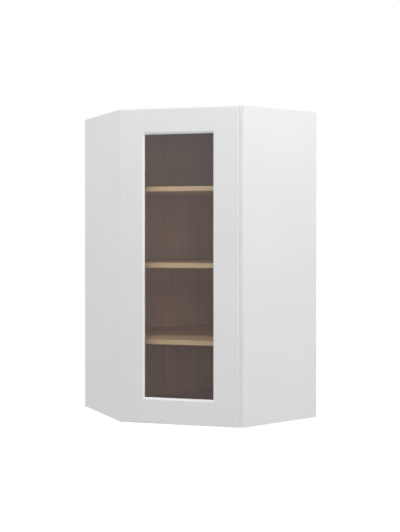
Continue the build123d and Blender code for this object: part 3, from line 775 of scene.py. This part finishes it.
def cross_cutter(radius, depth):
    """A tapered cross that stands in the head's top, which is at z = 0."""
    mesh = bmesh.new()
    reach, arm = radius * RECESS_REACH, radius * RECESS_ARM
    bmesh.ops.create_grid(mesh, x_segments=3, y_segments=3, size=reach)
    for corner in mesh.verts:
        for axis in range(2):
            if abs(corner.co[axis]) < reach * 0.9:  # the grid's inner lines
                corner.co[axis] = arm if corner.co[axis] > 0 else -arm
    middles = {face: face.calc_center_median() for face in mesh.faces}
    outer = [face for face in mesh.faces if min(abs(middles[face].x), abs(middles[face].y)) > arm]
    bmesh.ops.delete(mesh, geom=outer, context="FACES")
    bmesh.ops.translate(mesh, verts=mesh.verts, vec=(0, 0, depth))
    upper, rim = mesh.faces[:], [edge for edge in mesh.edges if edge.is_boundary]
    shrunk = Vector((RECESS_TAPER, RECESS_TAPER, -1))
    below = {corner: mesh.verts.new(corner.co * shrunk) for corner in mesh.verts[:]}
    for face in upper:
        mesh.faces.new([below[corner] for corner in face.verts])
    for first, second in (edge.verts for edge in rim):
        mesh.faces.new((first, second, below[second], below[first]))
    bmesh.ops.recalc_face_normals(mesh, faces=mesh.faces)
    return mesh


def plain_head(radius, height, neck, countersunk):
    """A head with its top at z = 0: a rounded disc, or a cone down to the neck."""
    mesh = bmesh.new()
    bmesh.ops.create_cone(
        mesh,
        cap_ends=True,
        segments=RIM_SIDES,
        radius1=neck if countersunk else radius,
        radius2=radius,
        depth=height,
    )
    bmesh.ops.translate(mesh, verts=mesh.verts, vec=(0, 0, -height / 2))
    rounding, steps = COUNTERSUNK_RIM if countersunk else ROUNDED_RIM
    rim = [edge for edge in mesh.edges if all(end.co.z > -height / 2 for end in edge.verts)]
    bmesh.ops.bevel(
        mesh,
        geom=rim,
        offset=height * rounding,
        segments=steps,
        profile=0.5,
        affect="EDGES",
        material=-1,
    )
    return mesh


def punched(head, cutter):
    """The head's mesh with the cutter's shape taken out of it."""
    body, tool = as_object(head, "head"), as_object(cutter, "punch")
    cut = body.modifiers.new("recess", "BOOLEAN")
    cut.object, cut.operation, cut.solver = tool, "DIFFERENCE", "EXACT"
    view = bpy.context.evaluated_depsgraph_get()
    result = bpy.data.meshes.new_from_object(body.evaluated_get(view))
    for spare in (body, tool):
        bpy.data.objects.remove(spare)
    return result


# %% [markdown]
# The thread is a small triangle spun down the rod as a helix and sunk a little
# into it. A bump pattern could only hint at it, and its edge would stay smooth.

# %% Threaded rods
THREAD_PITCH = 0.0013
THREAD_HALF = 0.35  # half the thread's width at its root, of the pitch
THREAD_STEPS = 20  # for each turn
ROOT_SHARE = 0.72  # the rod's radius, of the thread's
POINT_LENGTH = 0.002
POINT_SHARE = 0.125  # the point's radius, of the rod's
SINK = 0.0001  # of the thread's root into the rod
ROD_START = 0.9  # of the head's height, so that rod and head overlap


def thread(mesh, radius, top, bottom):
    """Adds a thread from z = top down to z = bottom."""
    root = radius * ROOT_SHARE - SINK
    half = THREAD_PITCH * THREAD_HALF
    start = top - THREAD_PITCH
    places = ((root, 0, start + half), (radius, 0, start), (root, 0, start - half))
    section = mesh.faces.new([mesh.verts.new(place) for place in places])
    turns = int((start - half - bottom) / THREAD_PITCH)
    bmesh.ops.spin(
        mesh,
        geom=[section, *section.edges, *section.verts],
        cent=(0, 0, 0),
        axis=(0, 0, 1),
        dvec=(0, 0, -THREAD_PITCH / THREAD_STEPS),
        angle=2 * pi * turns,
        steps=THREAD_STEPS * turns,
        use_merge=False,
    )


def threaded_rod(mesh, radius, top, bottom):
    """Adds a pointed rod from z = top down to z = bottom, with a thread round it."""
    root = radius * ROOT_SHARE
    shoulder = bottom + POINT_LENGTH
    for foot, low, high in ((root, shoulder, top), (root * POINT_SHARE, bottom, shoulder)):
        made = bmesh.ops.create_cone(
            mesh,
            cap_ends=True,
            segments=RIM_SIDES // 2,
            radius1=foot,
            radius2=root,
            depth=high - low,
        )
        bmesh.ops.translate(mesh, verts=made["verts"], vec=(0, 0, (low + high) / 2))
    thread(mesh, radius, top, shoulder)


# %% [markdown]
# One screw is made for each kind and then set on every mark of that kind. Each
# is turned a little further than the one before it, because no two are driven
# in alike.

# %% Screws
SCREWS = {  # body, frame, head's radius and height, thread's radius, countersunk
    "hinge_cup_screws": ("door", DOOR_FRAME, 0.003, 0.0015, 0.0015, False),
    "hinge_arm_screws": ("cabinet", DOOR_FRAME, 0.0032, 0.0018, 0.0017, False),
    "back_panel_screws": ("cabinet", WALL_FRAME, 0.0035, 0.0019, 0.00175, True),
}
NEXT_TURN = 2.4  # radians


def one_screw(length, head_radius, head_height, radius, countersunk):
    """The mesh of a screw that points down, with its top at z = 0."""
    head = plain_head(head_radius, head_height, radius, countersunk)
    cutter = cross_cutter(head_radius, head_height * RECESS_DEPTH)
    whole = punched(head, cutter)
    mesh = bmesh.new()
    mesh.from_mesh(whole)
    threaded_rod(mesh, radius, -head_height * ROD_START, -length)
    bmesh.ops.recalc_face_normals(mesh, faces=mesh.faces)
    mesh.to_mesh(whole)
    mesh.free()
    return whole


def screws(part, body, frame_turn, *screw_facts):
    """One piece with a screw on each mark of a part."""
    marks = loose_pieces(part)
    places = [screw_place(points, frame_turn) for points in marks]
    top, way = places[0]
    length = max((point - top).dot(way) for point in marks[0])
    screw = one_screw(length, *screw_facts)
    mesh = bmesh.new()
    for count, (top, way) in enumerate(places):
        before = len(mesh.verts)
        mesh.from_mesh(screw)
        mesh.verts.ensure_lookup_table()
        driven = way.to_track_quat("-Z", "Y").to_matrix().to_4x4()
        turned = Matrix.Rotation(NEXT_TURN * count, 4, "Z")
        placed = Matrix.Translation(top) @ driven @ turned
        bmesh.ops.transform(mesh, matrix=placed, verts=mesh.verts[before:])
    piece = as_object(mesh, part.replace("screws", "cross_screws"))
    piece.data.materials.append(nickel)
    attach(piece, body)
    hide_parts(part)
    print(len(marks), part, round(length * 1000, 2), "mm long,", len(screw.polygons), "faces each")


for part, facts in SCREWS.items():
    screws(part, *facts)
